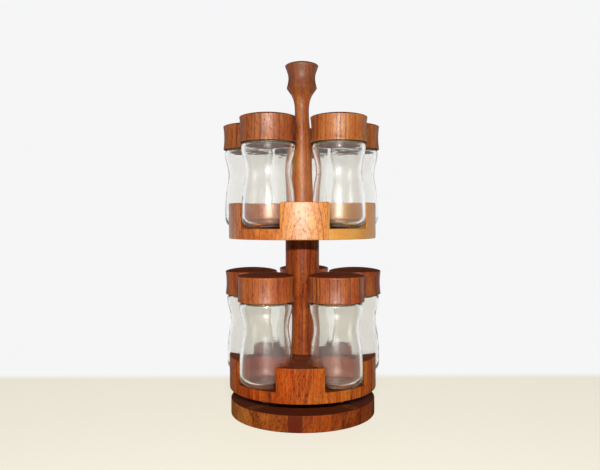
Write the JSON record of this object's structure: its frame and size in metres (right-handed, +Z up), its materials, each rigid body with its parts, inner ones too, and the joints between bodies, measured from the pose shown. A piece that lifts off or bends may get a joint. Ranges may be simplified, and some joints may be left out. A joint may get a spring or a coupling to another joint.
{
  "type": "two-tier spice rack",
  "caption": "Round wooden carousel whose two tiers hold lidded glass spice jars in open pockets and turn on a ball bearing under a turned handle.",
  "frame": {"origin": "middle of the felt face that the rack stands on, on the carousel's axis", "axes": "+Z up along the carousel's axis, -Y towards the front, where a tier's solid block faces the viewer"},
  "size_m": [0.1539, 0.149, 0.3344],
  "materials": {
    "base_teak": "oiled teak, glued up",
    "tier_teak": "oiled teak, satin",
    "post_teak": "turned teak, satin",
    "lid_teak": "turned teak, satin",
    "jar_glass": "clear pressed glass",
    "seal_rubber": "olive rubber",
    "felt": "green felt",
    "plate_steel": "zinc plated",
    "ball_steel": "polished",
    "fixing_steel": "plated steel"
  },
  "bodies": {
    "base": {"base_disc": "base_teak", "base_felt": "felt", "bearing_lower_plate": "plate_steel", "bearing_lower_screws": "fixing_steel"},
    "ball_ring": {"bearing_balls": "ball_steel"},
    "carousel": {"bearing_upper_plate": "plate_steel", "bearing_upper_screws": "fixing_steel", "tier_lower": "tier_teak", "column": "post_teak", "tier_upper": "tier_teak", "handle_post": "post_teak", "tie_rod": "fixing_steel", "tie_washer": "fixing_steel", "tie_nut": "fixing_steel"},
    "jar_lower_1": {"jar_lower_1": "jar_glass"},
    "lid_lower_1": {"lid_lower_1": "lid_teak", "seal_lower_1": "seal_rubber"},
    "jar_lower_2": {"jar_lower_2": "jar_glass"},
    "lid_lower_2": {"lid_lower_2": "lid_teak", "seal_lower_2": "seal_rubber"},
    "jar_lower_3": {"jar_lower_3": "jar_glass"},
    "lid_lower_3": {"lid_lower_3": "lid_teak", "seal_lower_3": "seal_rubber"},
    "jar_lower_4": {"jar_lower_4": "jar_glass"},
    "lid_lower_4": {"lid_lower_4": "lid_teak", "seal_lower_4": "seal_rubber"},
    "jar_lower_5": {"jar_lower_5": "jar_glass"},
    "lid_lower_5": {"lid_lower_5": "lid_teak", "seal_lower_5": "seal_rubber"},
    "jar_upper_1": {"jar_upper_1": "jar_glass"},
    "lid_upper_1": {"lid_upper_1": "lid_teak", "seal_upper_1": "seal_rubber"},
    "jar_upper_2": {"jar_upper_2": "jar_glass"},
    "lid_upper_2": {"lid_upper_2": "lid_teak", "seal_upper_2": "seal_rubber"},
    "jar_upper_3": {"jar_upper_3": "jar_glass"},
    "lid_upper_3": {"lid_upper_3": "lid_teak", "seal_upper_3": "seal_rubber"},
    "jar_upper_4": {"jar_upper_4": "jar_glass"},
    "lid_upper_4": {"lid_upper_4": "lid_teak", "seal_upper_4": "seal_rubber"},
    "jar_upper_5": {"jar_upper_5": "jar_glass"},
    "lid_upper_5": {"lid_upper_5": "lid_teak", "seal_upper_5": "seal_rubber"}
  },
  "joints": [
    {"name": "carousel_spin", "type": "hinge", "parent": "base", "child": "carousel", "pos_m": [0, 0, 0.0255], "axis": [0, 0, 1], "continuous": true},
    {"name": "ball_ring_spin", "type": "hinge", "parent": "base", "child": "ball_ring", "pos_m": [0, 0, 0.0205], "axis": [0, 0, 1], "continuous": true},
    {"name": "jar_lower_1_lift", "type": "slide", "parent": "carousel", "child": "jar_lower_1", "axis": [0, 0, 1], "range_m": [0, 0.0216]},
    {"name": "lid_lower_1_lift", "type": "slide", "parent": "jar_lower_1", "child": "lid_lower_1", "axis": [0, 0, 1], "range_m": [0, 0.0056]},
    {"name": "jar_lower_2_lift", "type": "slide", "parent": "carousel", "child": "jar_lower_2", "axis": [0, 0, 1], "range_m": [0, 0.0216]},
    {"name": "lid_lower_2_lift", "type": "slide", "parent": "jar_lower_2", "child": "lid_lower_2", "axis": [0, 0, 1], "range_m": [0, 0.0056]},
    {"name": "jar_lower_3_lift", "type": "slide", "parent": "carousel", "child": "jar_lower_3", "axis": [0, 0, 1], "range_m": [0, 0.0216]},
    {"name": "lid_lower_3_lift", "type": "slide", "parent": "jar_lower_3", "child": "lid_lower_3", "axis": [0, 0, 1], "range_m": [0, 0.0056]},
    {"name": "jar_lower_4_lift", "type": "slide", "parent": "carousel", "child": "jar_lower_4", "axis": [0, 0, 1], "range_m": [0, 0.0216]},
    {"name": "lid_lower_4_lift", "type": "slide", "parent": "jar_lower_4", "child": "lid_lower_4", "axis": [0, 0, 1], "range_m": [0, 0.0056]},
    {"name": "jar_lower_5_lift", "type": "slide", "parent": "carousel", "child": "jar_lower_5", "axis": [0, 0, 1], "range_m": [0, 0.0216]},
    {"name": "lid_lower_5_lift", "type": "slide", "parent": "jar_lower_5", "child": "lid_lower_5", "axis": [0, 0, 1], "range_m": [0, 0.0056]},
    {"name": "jar_upper_1_lift", "type": "slide", "parent": "carousel", "child": "jar_upper_1", "axis": [0, 0, 1], "range_m": [0, 0.0235]},
    {"name": "lid_upper_1_lift", "type": "slide", "parent": "jar_upper_1", "child": "lid_upper_1", "axis": [0, 0, 1], "range_m": [0, 0.0056]},
    {"name": "jar_upper_2_lift", "type": "slide", "parent": "carousel", "child": "jar_upper_2", "axis": [0, 0, 1], "range_m": [0, 0.0235]},
    {"name": "lid_upper_2_lift", "type": "slide", "parent": "jar_upper_2", "child": "lid_upper_2", "axis": [0, 0, 1], "range_m": [0, 0.0056]},
    {"name": "jar_upper_3_lift", "type": "slide", "parent": "carousel", "child": "jar_upper_3", "axis": [0, 0, 1], "range_m": [0, 0.0235]},
    {"name": "lid_upper_3_lift", "type": "slide", "parent": "jar_upper_3", "child": "lid_upper_3", "axis": [0, 0, 1], "range_m": [0, 0.0056]},
    {"name": "jar_upper_4_lift", "type": "slide", "parent": "carousel", "child": "jar_upper_4", "axis": [0, 0, 1], "range_m": [0, 0.0235]},
    {"name": "lid_upper_4_lift", "type": "slide", "parent": "jar_upper_4", "child": "lid_upper_4", "axis": [0, 0, 1], "range_m": [0, 0.0056]},
    {"name": "jar_upper_5_lift", "type": "slide", "parent": "carousel", "child": "jar_upper_5", "axis": [0, 0, 1], "range_m": [0, 0.0235]},
    {"name": "lid_upper_5_lift", "type": "slide", "parent": "jar_upper_5", "child": "lid_upper_5", "axis": [0, 0, 1], "range_m": [0, 0.0056]}
  ],
  "couplings": [
    {"joint": "ball_ring_spin", "follows": "carousel_spin", "ratio": 0.5}
  ]
}
